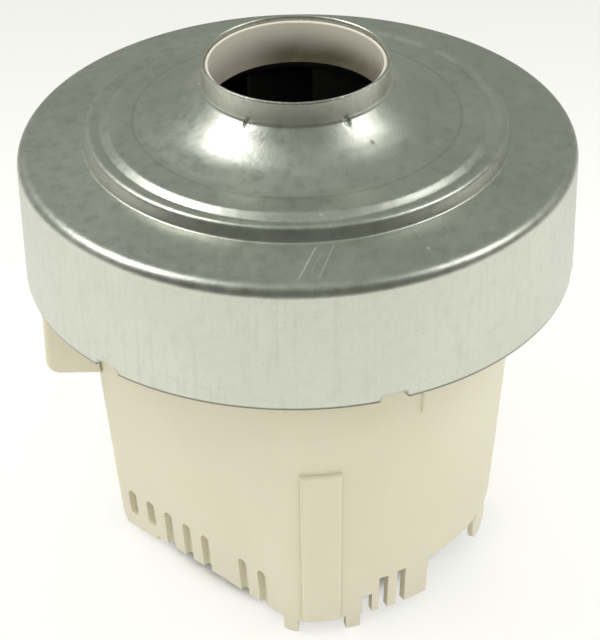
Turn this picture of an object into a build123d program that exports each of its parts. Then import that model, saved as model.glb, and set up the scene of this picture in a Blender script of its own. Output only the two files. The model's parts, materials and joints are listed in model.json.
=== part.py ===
from build123d import *
from math import atan, cos, degrees, hypot, radians, sin, sqrt
import os

os.makedirs("parts", exist_ok=True)

# A flow-through vacuum motor. Millimetres, +Z up along the motor's axis. The origin is on that axis,
# in the plane of the feet. The photographed front faces -Y.

# Gaps between pieces
fit_gap = 0.05          # radial, round pieces pushed on or into each other
seat_gap = 0.1          # pieces that only lie against each other
turn_gap = 0.4          # turning pieces to fixed ones
cut_over = 1.0          # overrun of cutting shapes

# Stack heights, from the feet up
foot_height = 4.0
skirt_height = 11.3
floor_thickness = 2.5
flange_thickness = 3.0
bracket_thickness = 1.5
return_vane_height = 11.0
guide_disc_thickness = 2.0
fan_gap = 1.2
fan_tip_gap = 1.6
guide_vane_height = 14.0

# Fan casing, drawn from sheet
casing_radius = 67.5
casing_thickness = 0.8
casing_hem = 2.0        # the edge's reach below the flange
casing_corner = 3.0
rim_drop = 2.1          # the flat slopes down to the rim by this much
step_radius = 51.6
bead_radius = 50.4
bead_rise = 3.9
valley_radius = 47.3
valley_rise = 2.85
ridge_radius = 45.4
ridge_rise = 4.25
crease_radius = 38.4
crease_rise = 4.5
dome_radius = 31.5
dome_rise = 6.4
shoulder_radius = 26.8
shoulder_rise = 9.4
collar_radius = 22.6
collar_foot_rise = 13.5
collar_rise = 19.6
step_bend = 0.9
bead_bend = 1.5
valley_bend = 0.9
ridge_bend = 1.9
crease_bend = 14.0
dome_bend = 16.0
shoulder_bend = 20.0
collar_bend = 1.6
casing_edge_round = 0.3
stake_radius = 1.2
stake_out = 1.0
stake_rise = 0.1
stake_count = 6
crimp_count = 6
crimp_first_angle = 48.0
crimp_width = 6.5
crimp_reach = 1.8
crimp_drop = 1.3
crimp_lip = 0.4

# Inlet insert
insert_wall = 0.9
insert_rim_drop = 1.1
insert_depth = 11.0
insert_flange_radius = 24.0
insert_flange_thickness = 1.8
insert_flange_gap = 0.6
insert_rim_round = 0.4

# Fan
fan_sheet = 0.8
neck_lap = 0.6
neck_height = 2.8
neck_bend = 3.0
rim_opening = 8.0
blade_count = 9
blade_thickness = 0.8
blade_inner_radius = 23.5
blade_edge = 1.0        # the blades stop this far inside the rim
blade_bow_radius = 46.0
blade_sweep_angle = -52.0
spacer_radius = 7.0
spacer_flange_radius = 11.0
spacer_flange_thickness = 1.5
fan_washer_radius = 10.0
fan_washer_thickness = 1.5
nut_flats = 13.0
nut_height = 6.5
nut_bevel = 0.8
shaft_above_nut = 2.4

# Diffuser: a guide disc with vanes above and below
guide_disc_inset = 4.2
guide_disc_bore = 13.0
guide_vane_count = 15
guide_vane_depth = 11.6
guide_vane_clear = 0.5
guide_vane_thickness = 1.5
guide_vane_bow_radius = 14.0
guide_vane_sweep_angle = 12.0
return_vane_count = 12
return_vane_inner_radius = 24.0
return_vane_inset = 8.0
return_vane_bow_radius = 34.0
return_vane_sweep_angle = -48.0
diffuser_screw_circle = 30.0
diffuser_screw_count = 3
diffuser_screw_angle = 30.0
diffuser_screw_radius = 1.5
diffuser_screw_head_radius = 2.9
diffuser_screw_head_height = 1.4
diffuser_boss_radius = 3.4

# Upper bearing bracket, sheet steel with a drawn cup
bracket_clear = 0.3
bracket_window_inner = 20.0
bracket_window_inset = 12.5
bracket_window_angle = 42.0
bracket_window_count = 6
bracket_window_round = 2.5
cup_sheet = 1.5
cup_floor_bore = 7.0
bracket_screw_inset = 7.9
bracket_screw_count = 4
bracket_screw_angle = 45.0
bracket_screw_radius = 2.0
bracket_screw_head_radius = 3.6
bracket_screw_head_height = 2.4
bracket_screw_length = 8.0
screw_slot_width = 0.9
screw_slot_depth = 0.9

# Shaft and ball bearings
shaft_radius = 4.0
shaft_shoulder_radius = 5.5
shaft_end_gap = 0.5
shaft_bevel = 0.6
bearing_radius = 11.0
bearing_width = 7.0
bearing_outer_land = 9.0
bearing_inner_land = 6.0
bearing_edge = 0.3
ball_circle = 7.5
ball_radius = 1.9
ball_gap = 0.1
ball_count = 7
cage_radial_half = 0.9
cage_half_height = 2.4

# Armature
armature_gap = 0.5      # air gap to the stator's bore
armature_slots = 22
slot_mouth = 1.4
slot_top_width = 3.2
slot_root_width = 1.5
slot_top_depth = 1.5
slot_root_radius = 13.0
winding_clear = 0.1
winding_outer_radius = 19.6
winding_inner_radius = 6.5
winding_top_height = 4.5
winding_round = 1.8
commutator_radius = 12.0
bar_depth = 3.5
commutator_gap = 1.2    # above the floor
commutator_length = 15.0
bar_gap = 0.5
riser_step = 1.4
riser_height = 2.0

# Stator and field coils
stack_height = 34.0
stator_room = 0.5
stator_flat_clear = 0.48
stator_bore = 22.5
yoke_depth = 8.0
pole_half_width = 13.0
pole_tip_depth = 4.0
pole_tip_angle = 130.0
coil_outer_clear = 1.0
coil_angle = 124.0
coil_clear = 0.5
coil_end_height = 7.0
coil_end_round = 2.6
coil_room = 9.5         # above the stack, up to the flange
stator_screw_circle = 41.0
stator_screw_radius = 1.8
stator_screw_head_radius = 3.3
stator_screw_head_height = 2.6
stator_screw_bite = 12.0

# Motor housing, moulded; the round wall widens upwards
housing_radius = 47.7   # outer, in the plane of the feet
housing_taper = 0.08    # growth of the radius per height
housing_flat = 36.5     # axis to a flat, in the plane of the feet
housing_wall = 2.2
flat_wall = 3.0
housing_corner = 6.0
flange_gap = 0.2
flat_angle = 45.0
hub_wall = 2.4
hub_floor = 1.6
hub_drop = 7.9          # floor's underside to the hub's bottom
rib_width = 3.0
rib_seat = 5.5
rib_clear = 0.15
rib_angles = (107.0, 163.0, 287.0, 343.0)
screw_boss_radius = 4.2
pole_angle = 135.0
grille_count = 4
grille_pitch_angle = 13.0
grille_inner = 22.0
grille_outer = 36.0
grille_slot_width = 3.6
flange_boss_radius = 3.8
flange_boss_height = 6.0
front_rib_start = 268.7
front_rib_end = 280.0
front_rib_top = 52.2
front_rib_depth = 1.3
front_rib_round = 0.8
side_ledge_start = 302.0
side_ledge_end = 311.0
side_ledge_bottom = 65.0
side_ledge_depth = 0.6
side_ledge_round = 0.3

# The skirt below the floor. Each half turn of it is the same: a heel, feet, gaps, vents and a loose end.
skirt_inner = 30.0
skirt_feet = ((263.0, 267.5), (281.8, 286.2))
skirt_start = 184.0
heel_end = 199.0        # the skirt's start, which stays this far off the ground
heel_lift = 2.7
skirt_end = 309.0
skirt_corner = 8.0
vent_angles = (288.3, 293.4, 299.3)
vent_width = 2.5
vent_rises = (6.0, 10.7, 11.2)
tab_start = 335.0
tab_end = 352.0
tab_step = 1.2
tab_thickness = 1.4
tab_rise = 1.5
tab_round = 3.0
tab_hole_width = 2.2
tab_hole_angle = 337.0
groove_shares = (-0.837, -0.616, -0.396, -0.175, 0.045, 0.487, 0.707)
groove_width = 3.0
groove_depth = 1.5
groove_length = 11.0
short_groove_lift = 3.0

# Connector shroud on the left side
shroud_reach = 16.8     # out from the housing's foot circle
shroud_half_width = 7.3
shroud_bottom = 51.6
shroud_wall = 1.7
shroud_corner = 3.6
shroud_edge = 1.4
shroud_ceiling_drop = 14.5
shroud_ceiling_thickness = 2.5
shroud_room = 7.8

# Terminals and leads
terminal_pitch = 5.2
terminal_thickness = 0.8
terminal_width = 4.8
terminal_inset = 2.4
terminal_set_in = 3.5
terminal_head_height = 4.5
terminal_head_reach = 11.5
terminal_shoulder = 1.0
lead_radius = 0.8
lead_bend = 1.9
lead_end_gap = 0.15
terminal_lead_rise = 3.5
terminal_lead_stub = 2.6
terminal_lead_run = 4.0
terminal_lead_angle = 253.0
terminal_lead_shares = ((0.89, 193.0), (0.79, 216.0), (0.68, 237.5))   # of the stator's radius, and angle
coil_lead_across = 1.5
coil_lead_out = 7.4
coil_lead_drop = 3.0

# Brush gear, one set on each side
brush_rise = 7.0
brush_width = 6.3
brush_height = 10.0
brush_length = 18.0
brush_gap = 0.3
brush_clear = 0.1
tube_wall = 0.6
tube_gap = 2.2
tube_end_room = 5.5
holder_inset = 2.4
holder_wall = 1.5
holder_plate_half_width = 11.0
holder_plate_thickness = 2.0
holder_plate_reach = 3.6
holder_opening_clear = 0.3
holder_screw_along = 30.0
holder_screw_across = 8.7
holder_screw_radius = 1.25
holder_screw_head_radius = 2.3
holder_screw_head_height = 1.6
holder_screw_bite = 2.0
brush_cap_thickness = 1.0
brush_cap_tab = 3.0
brush_cap_hole = 1.2
brush_shunt_radius = 0.6
brush_shunt_length = 8.0
spring_radius = 2.4
spring_wire = 0.25
spring_turns = 6

# Preload washer under the lower bearing
preload_height = 0.9
preload_sheet = 0.4
preload_inner_radius = 8.2

# Radii that follow from the casing, the housing and the commutator
casing_inner = casing_radius - casing_thickness
bracket_radius = casing_inner - bracket_clear
bracket_screw_circle = bracket_radius - bracket_screw_inset
bracket_window_outer = bracket_screw_circle - bracket_window_inset
guide_vane_outer_radius = casing_inner - guide_vane_clear
guide_vane_inner_radius = guide_vane_outer_radius - guide_vane_depth
guide_disc_radius = guide_vane_outer_radius - guide_disc_inset
return_vane_outer_radius = guide_disc_radius - return_vane_inset
fan_radius = guide_vane_inner_radius - fan_tip_gap
flange_radius = casing_inner - flange_gap
hub_radius = bearing_radius + hub_wall
insert_outer = collar_radius - casing_thickness - seat_gap
insert_inner = insert_outer - insert_wall
neck_outer = insert_outer + turn_gap + fan_sheet
armature_radius = stator_bore - armature_gap
commutator_hub_radius = commutator_radius - bar_depth
riser_radius = commutator_radius + riser_step
stator_radius = housing_radius - housing_wall - stator_room
pole_tip_radius = stator_bore + pole_tip_depth
coil_inner_radius = pole_tip_radius + coil_clear
coil_outer_radius = stator_radius - yoke_depth - coil_outer_clear
tube_start = commutator_radius + tube_gap
tube_end = housing_radius - housing_wall - tube_end_room
holder_start = tube_start + holder_inset
holder_plate_end = tube_end + holder_plate_reach
shroud_outer = housing_radius + shroud_reach
shroud_cavity_inner = shroud_outer - shroud_wall - shroud_room
terminal_centre = shroud_cavity_inner + terminal_set_in
terminal_head_inner = terminal_centre - terminal_head_reach

# Levels that follow from the stack
floor_bottom = foot_height + skirt_height
floor_top = floor_bottom + floor_thickness
hub_bottom = floor_bottom - hub_drop
lower_bearing_bottom = hub_bottom + hub_floor + preload_height
lower_bearing_top = lower_bearing_bottom + bearing_width
commutator_bottom = floor_top + commutator_gap
commutator_top = commutator_bottom + commutator_length
brush_level = commutator_bottom + brush_rise
stack_bottom = commutator_top + coil_end_height
stack_top = stack_bottom + stack_height
winding_top = stack_top + winding_top_height
flange_bottom = stack_top + coil_room
flange_top = flange_bottom + flange_thickness
bracket_top = flange_top + bracket_thickness
upper_bearing_bottom = bracket_top - bearing_width
guide_disc_bottom = bracket_top + return_vane_height
guide_disc_top = guide_disc_bottom + guide_disc_thickness
guide_vane_top = guide_disc_top + guide_vane_height
casing_flat = guide_vane_top + seat_gap + casing_thickness
casing_bottom = flange_bottom - casing_hem
collar_top = casing_flat + collar_rise
fan_bottom = guide_disc_top + fan_gap
fan_back_top = fan_bottom + fan_sheet
insert_top = collar_top - insert_rim_drop
insert_bottom = insert_top - insert_depth
neck_top = insert_bottom + neck_lap
shroud_ceiling = flange_bottom - shroud_ceiling_drop
terminal_tip = shroud_bottom + terminal_inset
taper_angle = -degrees(atan(housing_taper))


def wall_radius(level):
    # outer radius of the round wall at a height above the feet
    return housing_radius + housing_taper * level


def flat_distance(level):
    # axis to the outside of a flat at a height above the feet
    return housing_flat + housing_taper * level


stator_flat = flat_distance(stack_bottom) - flat_wall - stator_flat_clear


def polar(radius, angle):
    return Vector(radius * cos(radians(angle)), radius * sin(radians(angle)))


def ring(bottom, top, outer, inner):
    # a plain ring about the motor's axis
    with BuildPart() as body:
        with BuildSketch(Plane.XY.offset(bottom)):
            Circle(outer)
            Circle(inner, mode=Mode.SUBTRACT)
        extrude(amount=top - bottom)
    return body.part


def flatted_section(level, radius, flat, corner):
    # a round section with a flat on two opposite sides
    with BuildSketch(Plane.XY.offset(level)) as section:
        Circle(radius)
        Rectangle(2 * flat, 3 * radius, rotation=flat_angle, mode=Mode.INTERSECT)
        fillet(section.vertices(), corner)
    return section.sketch


def sector_section(level, inner, outer, start, end):
    # part of a ring in plan, between two angles
    with BuildSketch(Plane.XY.offset(level)) as section:
        with BuildLine():
            near = CenterArc((0, 0), inner, start, end - start)
            far = CenterArc((0, 0), outer, start, end - start)
            Line(near @ 0, far @ 0)
            Line(near @ 1, far @ 1)
        make_face()
    return section.sketch


def wall_strip(bottom, top, depth, start, end, edge_round):
    # a raised strip on the round wall, following its taper, with soft outer edges
    inside = housing_wall / 2
    with BuildPart() as strip:
        with BuildSketch(Plane.XZ):
            with BuildLine():
                Polyline(
                    (wall_radius(bottom) - inside, bottom),
                    (wall_radius(bottom) + depth, bottom),
                    (wall_radius(top) + depth, top),
                    (wall_radius(top) - inside, top),
                    close=True,
                )
            make_face()
        revolve(axis=Axis.Z, revolution_arc=end - start)
        fillet(strip.faces().sort_by(SortBy.AREA)[-1].edges(), edge_round)
    return strip.part.rotate(Axis.Z, start)


def vane_section(level, inner, outer, sweep, bow, thickness):
    # one curved vane in plan
    with BuildSketch(Plane.XY.offset(level)) as section:
        with BuildLine():
            RadiusArc((inner, 0), polar(outer, sweep), bow)
        trace(line_width=thickness)
    return section.sketch


def radial_plane(angle, level, distance):
    # a plane that faces outwards at an angle; its x runs round the motor, its y runs up
    place = polar(distance, angle)
    outwards = polar(1, angle)
    along = polar(1, angle + 90)
    return Plane(
        origin=(place.X, place.Y, level),
        x_dir=(along.X, along.Y, 0),
        z_dir=(outwards.X, outwards.Y, 0),
    )


def lead_wire(points, bend):
    # an insulated wire on straight runs with round bends
    with BuildPart() as wire:
        with BuildLine() as route:
            FilletPolyline(*points, radius=bend)
        with BuildSketch(Plane(origin=route.line @ 0, z_dir=route.line % 0)):
            Circle(lead_radius)
        sweep()
    return wire.part


# Fan casing
crimp_tip_radius = casing_inner - crimp_reach
crimp_run = hypot(crimp_reach, crimp_drop)
crimp_half_angle = degrees(crimp_width / 2 / casing_radius)
crimp_top = flange_bottom - seat_gap
with BuildPart() as crimp_tab:
    with BuildSketch(Plane.XZ):
        with BuildLine():
            Polyline(
                (casing_inner, crimp_top),
                (crimp_tip_radius, crimp_top - crimp_drop),
                (
                    crimp_tip_radius + casing_thickness * crimp_drop / crimp_run,
                    crimp_top - crimp_drop - casing_thickness * crimp_reach / crimp_run,
                ),
                (casing_radius, crimp_top - crimp_lip),
                (casing_radius, crimp_top),
                close=True,
            )
        make_face()
    revolve(axis=Axis.Z, revolution_arc=2 * crimp_half_angle)

casing_points = (
    (casing_radius, casing_bottom),
    (casing_radius, casing_flat - rim_drop),
    (step_radius, casing_flat),
    (bead_radius, casing_flat + bead_rise),
    (valley_radius, casing_flat + valley_rise),
    (ridge_radius, casing_flat + ridge_rise),
    (crease_radius, casing_flat + crease_rise),
    (dome_radius, casing_flat + dome_rise),
    (shoulder_radius, casing_flat + shoulder_rise),
    (collar_radius, casing_flat + collar_foot_rise),
    (collar_radius, collar_top),
)
casing_bends = (
    casing_corner,
    step_bend,
    bead_bend,
    valley_bend,
    ridge_bend,
    crease_bend,
    dome_bend,
    shoulder_bend,
    collar_bend,
)
with BuildPart() as fan_casing:
    with BuildSketch(Plane.XZ) as casing_section:
        with BuildLine():
            FilletPolyline(*casing_points, radius=casing_bends)
            offset(amount=casing_thickness, side=Side.LEFT)
        make_face()
        fillet(casing_section.vertices().group_by(Axis.Y)[-1], casing_edge_round)
        fillet(casing_section.vertices().group_by(Axis.Y)[0], casing_edge_round)
    revolve(axis=Axis.Z)
    with BuildSketch(Plane.XY.offset(casing_bottom - cut_over)):
        with PolarLocations(0, crimp_count, crimp_first_angle - crimp_half_angle):
            add(sector_section(0, crimp_tip_radius, casing_radius + cut_over, 0, 2 * crimp_half_angle))
    extrude(amount=crimp_top - casing_bottom + cut_over, mode=Mode.SUBTRACT)
    with PolarLocations(0, crimp_count, crimp_first_angle - crimp_half_angle):
        add(crimp_tab.part)
    with Locations(Plane.XY.offset(casing_flat + collar_foot_rise + stake_rise)):
        with PolarLocations(collar_radius + stake_out, stake_count):
            Sphere(stake_radius, mode=Mode.SUBTRACT)
fan_casing.part.label = "fan_casing"
export_step(fan_casing.part, "parts/fan_casing.step")

# Inlet insert: a tube in the collar, with a flange under the dome
insert_flange_bottom = neck_top + insert_flange_gap
with BuildPart() as inlet_insert:
    with BuildSketch(Plane.XZ) as insert_section:
        with BuildLine():
            Polyline(
                (insert_inner, insert_bottom),
                (insert_inner, insert_top),
                (insert_outer, insert_top),
                (insert_outer, insert_flange_bottom + insert_flange_thickness),
                (insert_flange_radius, insert_flange_bottom + insert_flange_thickness),
                (insert_flange_radius, insert_flange_bottom),
                (insert_outer, insert_flange_bottom),
                (insert_outer, insert_bottom),
                close=True,
            )
        make_face()
        fillet(insert_section.vertices().group_by(Axis.Y)[-1], insert_rim_round)
    revolve(axis=Axis.Z)
inlet_insert.part.label = "inlet_insert"
export_step(inlet_insert.part, "parts/inlet_insert.step")

# Fan: a flat back plate, curved blades and a conical front plate with the eye's neck
rim_top = fan_back_top + rim_opening + fan_sheet
neck_foot = neck_top - neck_height
with BuildPart() as impeller_front_plate:
    with BuildSketch(Plane.XZ):
        with BuildLine():
            FilletPolyline(
                (fan_radius, rim_top),
                (neck_outer, neck_foot),
                (neck_outer, neck_top),
                radius=neck_bend,
            )
            offset(amount=fan_sheet, side=Side.LEFT)
        make_face()
    revolve(axis=Axis.Z)
impeller_front_plate.part.label = "impeller_front_plate"
export_step(impeller_front_plate.part, "parts/impeller_front_plate.step")

with BuildPart() as impeller_vanes:
    blade = vane_section(
        fan_back_top,
        blade_inner_radius,
        fan_radius - blade_edge,
        blade_sweep_angle,
        blade_bow_radius,
        blade_thickness,
    )
    with BuildSketch(Plane.XY.offset(fan_back_top)):
        with PolarLocations(0, blade_count):
            add(blade)
    extrude(amount=neck_top - fan_back_top)
    # keep only what stands between the plates
    plate_drop = fan_sheet * hypot(fan_radius - neck_outer, neck_foot - rim_top) / (fan_radius - neck_outer)
    with BuildSketch(Plane.XZ):
        with BuildLine():
            Polyline(
                (0, fan_back_top),
                (fan_radius, fan_back_top),
                (fan_radius, rim_top - plate_drop - fit_gap),
                (neck_outer, neck_foot - plate_drop - fit_gap),
                (0, neck_foot - plate_drop - fit_gap),
                close=True,
            )
        make_face()
    revolve(axis=Axis.Z, mode=Mode.INTERSECT)
impeller_vanes.part.label = "impeller_vanes"
export_step(impeller_vanes.part, "parts/impeller_vanes.step")

with BuildPart() as impeller_back_plate:
    add(ring(fan_bottom, fan_back_top, fan_radius, shaft_radius + fit_gap))
impeller_back_plate.part.label = "impeller_back_plate"
export_step(impeller_back_plate.part, "parts/impeller_back_plate.step")

with BuildPart() as fan_spacer:
    add(ring(bracket_top, fan_bottom, spacer_radius, shaft_radius + fit_gap))
    add(ring(fan_bottom - spacer_flange_thickness, fan_bottom, spacer_flange_radius, shaft_radius + fit_gap))
fan_spacer.part.label = "fan_spacer"
export_step(fan_spacer.part, "parts/fan_spacer.step")

fan_washer_top = fan_back_top + fan_washer_thickness
with BuildPart() as fan_washer:
    add(ring(fan_back_top, fan_washer_top, fan_washer_radius, shaft_radius + fit_gap))
fan_washer.part.label = "fan_washer"
export_step(fan_washer.part, "parts/fan_washer.step")

nut_top = fan_washer_top + nut_height
with BuildPart() as fan_nut:
    with BuildSketch(Plane.XY.offset(fan_washer_top)):
        RegularPolygon(nut_flats / 2, 6, major_radius=False)
        Circle(shaft_radius + fit_gap, mode=Mode.SUBTRACT)
    extrude(amount=nut_height)
    # the corners are turned off at both ends
    nut_corner = nut_flats / sqrt(3)
    with BuildSketch(Plane.XZ):
        with BuildLine():
            Polyline(
                (0, fan_washer_top),
                (nut_corner - nut_bevel, fan_washer_top),
                (nut_corner, fan_washer_top + nut_bevel / 2),
                (nut_corner, nut_top - nut_bevel / 2),
                (nut_corner - nut_bevel, nut_top),
                (0, nut_top),
                close=True,
            )
        make_face()
    revolve(axis=Axis.Z, mode=Mode.INTERSECT)
fan_nut.part.label = "fan_nut"
export_step(fan_nut.part, "parts/fan_nut.step")

# Diffuser
with BuildPart() as diffuser:
    add(ring(guide_disc_bottom, guide_disc_top, guide_disc_radius, guide_disc_bore))
    guide_vane = vane_section(
        guide_disc_top,
        guide_vane_inner_radius,
        guide_vane_outer_radius,
        guide_vane_sweep_angle,
        guide_vane_bow_radius,
        guide_vane_thickness,
    )
    return_vane = vane_section(
        bracket_top,
        return_vane_inner_radius,
        return_vane_outer_radius,
        return_vane_sweep_angle,
        return_vane_bow_radius,
        guide_vane_thickness,
    )
    with BuildSketch(Plane.XY.offset(guide_disc_bottom)):
        with PolarLocations(0, guide_vane_count):
            add(guide_vane)
    extrude(amount=guide_vane_top - guide_disc_bottom)
    with BuildSketch(Plane.XY.offset(bracket_top)):
        with PolarLocations(0, return_vane_count):
            add(return_vane)
        with PolarLocations(diffuser_screw_circle, diffuser_screw_count, diffuser_screw_angle):
            Circle(diffuser_boss_radius)
    extrude(amount=return_vane_height)
    # the vanes' tops follow the slope under the casing's flat and clear the round of its rim
    rim_round_radius = casing_inner - casing_corner
    rim_round_drop = rim_drop * (rim_round_radius - step_radius) / (casing_radius - step_radius)
    with BuildSketch(Plane.XZ):
        with BuildLine():
            Polyline(
                (step_radius, guide_vane_top),
                (rim_round_radius, guide_vane_top - rim_round_drop),
                (casing_radius, guide_vane_top - rim_drop - casing_corner),
                (casing_radius, guide_vane_top + cut_over),
                (step_radius, guide_vane_top + cut_over),
                close=True,
            )
        make_face()
    revolve(axis=Axis.Z, mode=Mode.SUBTRACT)
    with Locations(Plane.XY.offset(guide_disc_top)):
        with PolarLocations(diffuser_screw_circle, diffuser_screw_count, diffuser_screw_angle):
            CounterSinkHole(
                diffuser_screw_radius + seat_gap,
                diffuser_screw_head_radius + seat_gap,
                counter_sink_angle=90,
            )
diffuser.part.label = "diffuser"
export_step(diffuser.part, "parts/diffuser.step")

with BuildPart() as diffuser_screws:
    with Locations(Plane.XY.offset(guide_disc_top)):
        with PolarLocations(diffuser_screw_circle, diffuser_screw_count, diffuser_screw_angle):
            Cone(
                diffuser_screw_radius,
                diffuser_screw_head_radius,
                diffuser_screw_head_height,
                align=(Align.CENTER, Align.CENTER, Align.MAX),
            )
            Cylinder(
                diffuser_screw_radius,
                guide_disc_top - flange_top,
                align=(Align.CENTER, Align.CENTER, Align.MAX),
            )
            Box(
                2 * diffuser_screw_head_radius,
                screw_slot_width,
                screw_slot_depth,
                align=(Align.CENTER, Align.CENTER, Align.MAX),
                mode=Mode.SUBTRACT,
            )
diffuser_screws.part.label = "diffuser_screws"
export_step(diffuser_screws.part, "parts/diffuser_screws.step")

# Upper bearing bracket
cup_radius = bearing_radius + fit_gap + cup_sheet
cup_bottom = upper_bearing_bottom - cup_sheet
with BuildPart() as bearing_bracket:
    add(ring(flange_top, bracket_top, bracket_radius, bearing_radius + fit_gap))
    add(ring(cup_bottom, bracket_top, cup_radius, bearing_radius + fit_gap))
    add(ring(cup_bottom, upper_bearing_bottom, cup_radius, cup_floor_bore))
    half_window = bracket_window_angle / 2
    window = sector_section(flange_top, bracket_window_inner, bracket_window_outer, -half_window, half_window)
    with BuildSketch(Plane.XY.offset(flange_top)) as windows:
        with PolarLocations(0, bracket_window_count):
            add(window)
        fillet(windows.vertices(), bracket_window_round)
    extrude(amount=bracket_thickness, mode=Mode.SUBTRACT)
    with BuildSketch(Plane.XY.offset(flange_top)):
        with PolarLocations(bracket_screw_circle, bracket_screw_count, bracket_screw_angle):
            Circle(bracket_screw_radius + seat_gap)
        with PolarLocations(diffuser_screw_circle, diffuser_screw_count, diffuser_screw_angle):
            Circle(diffuser_screw_radius + fit_gap)
    extrude(amount=bracket_thickness, mode=Mode.SUBTRACT)
bearing_bracket.part.label = "bearing_bracket"
export_step(bearing_bracket.part, "parts/bearing_bracket.step")

with BuildPart() as bracket_screws:
    with Locations(Plane.XY.offset(bracket_top)):
        with PolarLocations(bracket_screw_circle, bracket_screw_count, bracket_screw_angle):
            Cylinder(
                bracket_screw_head_radius,
                bracket_screw_head_height,
                align=(Align.CENTER, Align.CENTER, Align.MIN),
            )
            Cylinder(
                bracket_screw_radius,
                bracket_screw_length,
                align=(Align.CENTER, Align.CENTER, Align.MAX),
            )
    with Locations(Plane.XY.offset(bracket_top + bracket_screw_head_height)):
        with PolarLocations(bracket_screw_circle, bracket_screw_count, bracket_screw_angle):
            Box(
                2 * bracket_screw_head_radius,
                screw_slot_width,
                screw_slot_depth,
                align=(Align.CENTER, Align.CENTER, Align.MAX),
                mode=Mode.SUBTRACT,
            )
bracket_screws.part.label = "bracket_screws"
export_step(bracket_screws.part, "parts/bracket_screws.step")

# Shaft
shaft_bottom = lower_bearing_bottom - preload_height + shaft_end_gap
with BuildPart() as shaft:
    with BuildSketch(Plane.XY.offset(shaft_bottom)):
        Circle(shaft_radius)
    extrude(amount=nut_top + shaft_above_nut - shaft_bottom)
    chamfer(shaft.faces().sort_by(Axis.Z)[0].edges() + shaft.faces().sort_by(Axis.Z)[-1].edges(), shaft_bevel)
    with BuildSketch(Plane.XY.offset(lower_bearing_top)):
        Circle(shaft_shoulder_radius)
    extrude(amount=commutator_bottom - lower_bearing_top)
    with BuildSketch(Plane.XY.offset(winding_top)):
        Circle(shaft_shoulder_radius)
    extrude(amount=upper_bearing_bottom - winding_top)
shaft.part.label = "shaft"
export_step(shaft.part, "parts/shaft.step")

# Ball bearings, the same above and below
for bearing_name, bearing_bottom in (
    ("upper_bearing", upper_bearing_bottom),
    ("lower_bearing", lower_bearing_bottom),
):
    bearing_middle = bearing_bottom + bearing_width / 2
    groove_radius = ball_radius + ball_gap
    with BuildPart() as outer_ring:
        with BuildSketch(Plane.XZ) as outer_section:
            with Locations(((bearing_outer_land + bearing_radius) / 2, bearing_middle)):
                Rectangle(bearing_radius - bearing_outer_land, bearing_width)
            chamfer(outer_section.vertices().group_by(Axis.X)[-1], bearing_edge)
            with Locations((ball_circle, bearing_middle)):
                Circle(groove_radius, mode=Mode.SUBTRACT)
        revolve(axis=Axis.Z)
    with BuildPart() as inner_ring:
        with BuildSketch(Plane.XZ) as inner_section:
            with Locations(((shaft_radius + fit_gap + bearing_inner_land) / 2, bearing_middle)):
                Rectangle(bearing_inner_land - shaft_radius - fit_gap, bearing_width)
            chamfer(inner_section.vertices().group_by(Axis.X)[0], bearing_edge)
            with Locations((ball_circle, bearing_middle)):
                Circle(groove_radius, mode=Mode.SUBTRACT)
        revolve(axis=Axis.Z)
    with BuildPart() as balls:
        with Locations(Plane.XY.offset(bearing_middle)):
            with PolarLocations(ball_circle, ball_count):
                Sphere(ball_radius)
    with BuildPart() as cage:
        add(
            ring(
                bearing_middle - cage_half_height,
                bearing_middle + cage_half_height,
                ball_circle + cage_radial_half,
                ball_circle - cage_radial_half,
            )
        )
        with Locations(Plane.XY.offset(bearing_middle)):
            with PolarLocations(ball_circle, ball_count):
                Cylinder(
                    groove_radius,
                    2 * ball_circle - bearing_inner_land,
                    rotation=(0, 90, 0),
                    mode=Mode.SUBTRACT,
                )
    for part_name, piece in (
        ("outer_ring", outer_ring),
        ("inner_ring", inner_ring),
        ("balls", balls),
        ("cage", cage),
    ):
        piece.part.label = bearing_name + "_" + part_name
        export_step(piece.part, "parts/" + piece.part.label + ".step")

# Preload washer: a dished spring ring in the hub
preload_bottom = hub_bottom + hub_floor
preload_top = preload_bottom + preload_height
with BuildPart() as preload_washer:
    with BuildSketch(Plane.XZ):
        with BuildLine():
            Polyline(
                (preload_inner_radius, preload_bottom),
                (bearing_radius - seat_gap, preload_top - preload_sheet),
                (bearing_radius - seat_gap, preload_top),
                (preload_inner_radius, preload_bottom + preload_sheet),
                close=True,
            )
        make_face()
    revolve(axis=Axis.Z)
preload_washer.part.label = "preload_washer"
export_step(preload_washer.part, "parts/preload_washer.step")


def slot_section(level, clear):
    # the armature's slots in plan, drawn in by a clearance
    top_radius = armature_radius - slot_top_depth
    with BuildSketch(Plane.XY.offset(level)) as section:
        with PolarLocations(0, armature_slots):
            with BuildLine():
                Polyline(
                    (slot_root_radius + clear, slot_root_width / 2 - clear),
                    (top_radius - clear, slot_top_width / 2 - clear),
                    (top_radius - clear, clear - slot_top_width / 2),
                    (slot_root_radius + clear, clear - slot_root_width / 2),
                    close=True,
                )
            make_face()
    return section.sketch


# Armature core and winding
with BuildPart() as armature_core:
    add(ring(stack_bottom, stack_top, armature_radius, shaft_radius + fit_gap))
    extrude(slot_section(stack_bottom, 0), amount=stack_height, mode=Mode.SUBTRACT)
    with Locations(Plane.XY.offset(stack_bottom)):
        with PolarLocations(armature_radius - slot_top_depth, armature_slots):
            Box(
                2 * slot_top_depth,
                slot_mouth,
                stack_height,
                align=(Align.CENTER, Align.CENTER, Align.MIN),
                mode=Mode.SUBTRACT,
            )
armature_core.part.label = "armature_core"
export_step(armature_core.part, "parts/armature_core.step")

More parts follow.
